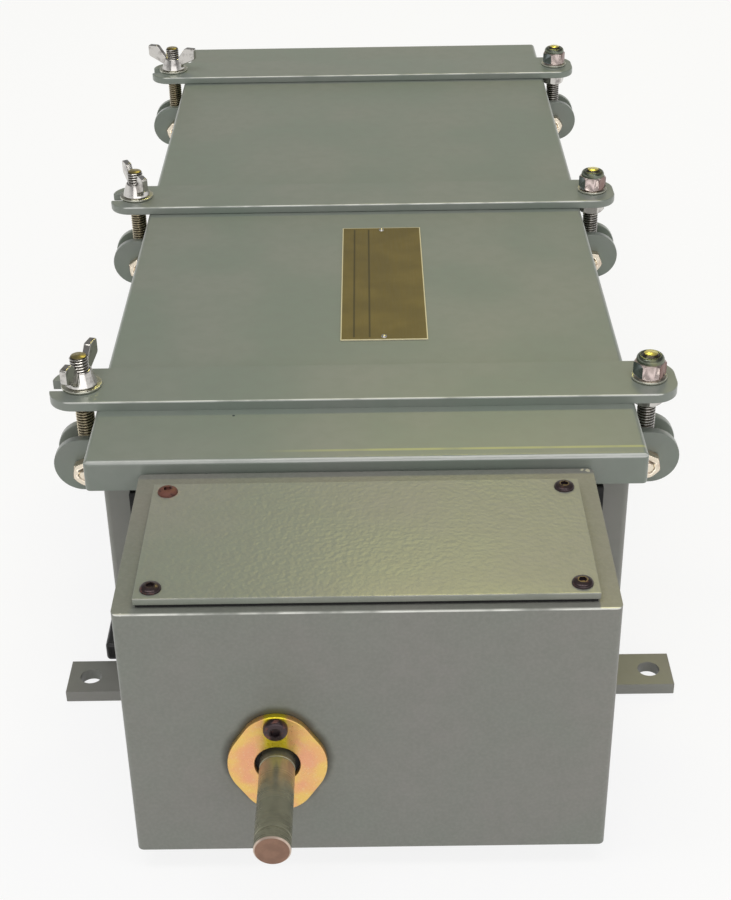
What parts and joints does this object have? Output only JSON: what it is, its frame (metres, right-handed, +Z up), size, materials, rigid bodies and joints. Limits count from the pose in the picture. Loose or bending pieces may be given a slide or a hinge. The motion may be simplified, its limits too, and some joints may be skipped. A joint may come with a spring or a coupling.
{
  "type": "rotating cam limit switch",
  "caption": "Geared rotating cam limit switch in a long clamped steel enclosure, with a front gear box, input shaft, swing bolts with wing nuts and four mounting lugs.",
  "frame": {"origin": "centre of the four foot holes, on the plane that the feet and the enclosure's floor stand on", "axes": "+X across the enclosure to the lock nut side, +Y from the input shaft end to the back, +Z up"},
  "size_m": [0.319, 0.7747, 0.1761],
  "materials": {
    "grey_paint": "satin grey-green enamel with a light orange peel",
    "grey_paint_hardware": "satin grey-green enamel on flat bar",
    "black_rubber": "matt black sponge rubber",
    "zinc_steel": "bright zinc plate",
    "yellow_zinc": "yellow chromate over zinc with pink bands",
    "dark_steel": "ground shaft steel with an oil film",
    "black_screw": "black oxide with a little rust",
    "olive_brass": "satin olive-brass sheet",
    "bronze": "oiled sintered bronze",
    "gear_steel": "machined and oiled",
    "cam_plastic": "moulded phenolic",
    "black_plastic": "moulded phenolic",
    "black_fitting": "black enamel on a cast fitting"
  },
  "bodies": {
    "enclosure": {"main_enclosure": "grey_paint", "mounting_lugs": "grey_paint", "lid_gasket": "black_rubber", "lid": "grey_paint", "rating_plate": "olive_brass", "plate_rivets": "zinc_steel", "conduit_plug": "black_fitting", "conduit_locknut": "zinc_steel", "clamp_bar_front": "grey_paint_hardware", "clamp_bar_middle": "grey_paint_hardware", "clamp_bar_rear": "grey_paint_hardware", "bolt_ears": "grey_paint_hardware", "hinge_bolts": "zinc_steel", "hinge_washers": "zinc_steel", "hinge_lock_nuts": "zinc_steel", "hinge_jam_nuts": "zinc_steel", "pivot_bolts": "zinc_steel", "pivot_nuts": "zinc_steel", "housing_spacer": "black_rubber", "gear_housing": "grey_paint", "housing_bolts": "zinc_steel", "housing_nuts": "zinc_steel", "cover_gasket": "black_rubber", "gear_cover": "grey_paint", "cover_screws": "black_screw", "shaft_retainer": "yellow_zinc", "retainer_screws": "black_screw", "shaft_seal": "black_rubber", "input_bushings": "bronze", "camshaft_bushings": "bronze", "bearing_bracket_front": "zinc_steel", "bearing_bracket_rear": "zinc_steel", "switch_rail": "zinc_steel", "snap_switches": "black_plastic", "switch_screws": "zinc_steel", "terminal_strip": "black_plastic", "terminal_screws": "zinc_steel"},
    "camshaft_assembly": {"camshaft": "gear_steel", "cam_gear": "gear_steel", "cams": "cam_plastic", "cam_sleeves": "gear_steel"},
    "input_assembly": {"input_shaft": "dark_steel", "input_pinion": "gear_steel"},
    "lever_1": {"switch_lever_1": "zinc_steel"},
    "lever_2": {"switch_lever_2": "zinc_steel"},
    "lever_3": {"switch_lever_3": "zinc_steel"},
    "lever_4": {"switch_lever_4": "zinc_steel"},
    "lever_5": {"switch_lever_5": "zinc_steel"},
    "lever_6": {"switch_lever_6": "zinc_steel"},
    "lever_7": {"switch_lever_7": "zinc_steel"},
    "lever_8": {"switch_lever_8": "zinc_steel"},
    "front_swing_bolt": {"swing_bolt_front": "zinc_steel"},
    "front_washer": {"clamp_washer_front": "zinc_steel"},
    "front_wing_nut": {"wing_nut_front": "zinc_steel"},
    "middle_swing_bolt": {"swing_bolt_middle": "zinc_steel"},
    "middle_washer": {"clamp_washer_middle": "zinc_steel"},
    "middle_wing_nut": {"wing_nut_middle": "zinc_steel"},
    "rear_swing_bolt": {"swing_bolt_rear": "zinc_steel"},
    "rear_washer": {"clamp_washer_rear": "zinc_steel"},
    "rear_wing_nut": {"wing_nut_rear": "zinc_steel"}
  },
  "joints": [
    {"name": "camshaft_turn", "type": "hinge", "parent": "enclosure", "child": "camshaft_assembly", "pos_m": [0.0105, 0, 0.0655], "axis": [0, 1, 0], "continuous": true},
    {"name": "input_shaft_turn", "type": "hinge", "parent": "enclosure", "child": "input_assembly", "pos_m": [-0.0403, -0.36, 0.0655], "axis": [0, 1, 0], "continuous": true},
    {"name": "lever_1_travel", "type": "hinge", "parent": "enclosure", "child": "lever_1", "pos_m": [0.0376, -0.196, 0.0395], "axis": [0, 1, 0], "range_deg": [-5, 3], "stiffness_Nm_per_rad": 0.5},
    {"name": "lever_2_travel", "type": "hinge", "parent": "enclosure", "child": "lever_2", "pos_m": [0.0376, -0.14, 0.0395], "axis": [0, 1, 0], "range_deg": [-5, 3], "stiffness_Nm_per_rad": 0.5},
    {"name": "lever_3_travel", "type": "hinge", "parent": "enclosure", "child": "lever_3", "pos_m": [0.0376, -0.084, 0.0395], "axis": [0, 1, 0], "range_deg": [-5, 3], "stiffness_Nm_per_rad": 0.5},
    {"name": "lever_4_travel", "type": "hinge", "parent": "enclosure", "child": "lever_4", "pos_m": [0.0376, -0.028, 0.0395], "axis": [0, 1, 0], "range_deg": [-5, 3], "stiffness_Nm_per_rad": 0.5},
    {"name": "lever_5_travel", "type": "hinge", "parent": "enclosure", "child": "lever_5", "pos_m": [0.0376, 0.028, 0.0395], "axis": [0, 1, 0], "range_deg": [-5, 3], "stiffness_Nm_per_rad": 0.5},
    {"name": "lever_6_travel", "type": "hinge", "parent": "enclosure", "child": "lever_6", "pos_m": [0.0376, 0.084, 0.0395], "axis": [0, 1, 0], "range_deg": [-5, 3], "stiffness_Nm_per_rad": 0.5},
    {"name": "lever_7_travel", "type": "hinge", "parent": "enclosure", "child": "lever_7", "pos_m": [0.0376, 0.14, 0.0395], "axis": [0, 1, 0], "range_deg": [-5, 3], "stiffness_Nm_per_rad": 0.5},
    {"name": "lever_8_travel", "type": "hinge", "parent": "enclosure", "child": "lever_8", "pos_m": [0.0376, 0.196, 0.0395], "axis": [0, 1, 0], "range_deg": [-5, 3], "stiffness_Nm_per_rad": 0.5},
    {"name": "front_bolt_swing", "type": "hinge", "parent": "enclosure", "child": "front_swing_bolt", "pos_m": [-0.142, -0.24, 0.1153], "axis": [0, -1, 0], "range_deg": [0, 60.1]},
    {"name": "front_washer_lift", "type": "slide", "parent": "front_swing_bolt", "child": "front_washer", "axis": [0, 0, 1], "range_m": [0, 0.01415]},
    {"name": "front_wing_nut_turn", "type": "hinge", "parent": "front_washer", "child": "front_wing_nut", "pos_m": [-0.142, -0.24, 0.158], "axis": [0, 0, 1], "range_deg": [0, 3206.4]},
    {"name": "middle_bolt_swing", "type": "hinge", "parent": "enclosure", "child": "middle_swing_bolt", "pos_m": [-0.142, 0, 0.1153], "axis": [0, -1, 0], "range_deg": [0, 60.1]},
    {"name": "middle_washer_lift", "type": "slide", "parent": "middle_swing_bolt", "child": "middle_washer", "axis": [0, 0, 1], "range_m": [0, 0.01415]},
    {"name": "middle_wing_nut_turn", "type": "hinge", "parent": "middle_washer", "child": "middle_wing_nut", "pos_m": [-0.142, 0, 0.158], "axis": [0, 0, 1], "range_deg": [0, 3206.4]},
    {"name": "rear_bolt_swing", "type": "hinge", "parent": "enclosure", "child": "rear_swing_bolt", "pos_m": [-0.142, 0.24, 0.1153], "axis": [0, -1, 0], "range_deg": [0, 60.1]},
    {"name": "rear_washer_lift", "type": "slide", "parent": "rear_swing_bolt", "child": "rear_washer", "axis": [0, 0, 1], "range_m": [0, 0.01415]},
    {"name": "rear_wing_nut_turn", "type": "hinge", "parent": "rear_washer", "child": "rear_wing_nut", "pos_m": [-0.142, 0.24, 0.158], "axis": [0, 0, 1], "range_deg": [0, 3206.4]}
  ],
  "couplings": [
    {"joint": "input_shaft_turn", "follows": "camshaft_turn", "ratio": -3},
    {"joint": "front_bolt_swing", "follows": "front_wing_nut_turn", "ratio": 0.018715},
    {"joint": "front_washer_lift", "follows": "front_wing_nut_turn", "m_per_rad": 0.00025266},
    {"joint": "middle_bolt_swing", "follows": "middle_wing_nut_turn", "ratio": 0.018715},
    {"joint": "middle_washer_lift", "follows": "middle_wing_nut_turn", "m_per_rad": 0.00025266},
    {"joint": "rear_bolt_swing", "follows": "rear_wing_nut_turn", "ratio": 0.018715},
    {"joint": "rear_washer_lift", "follows": "rear_wing_nut_turn", "m_per_rad": 0.00025266}
  ]
}
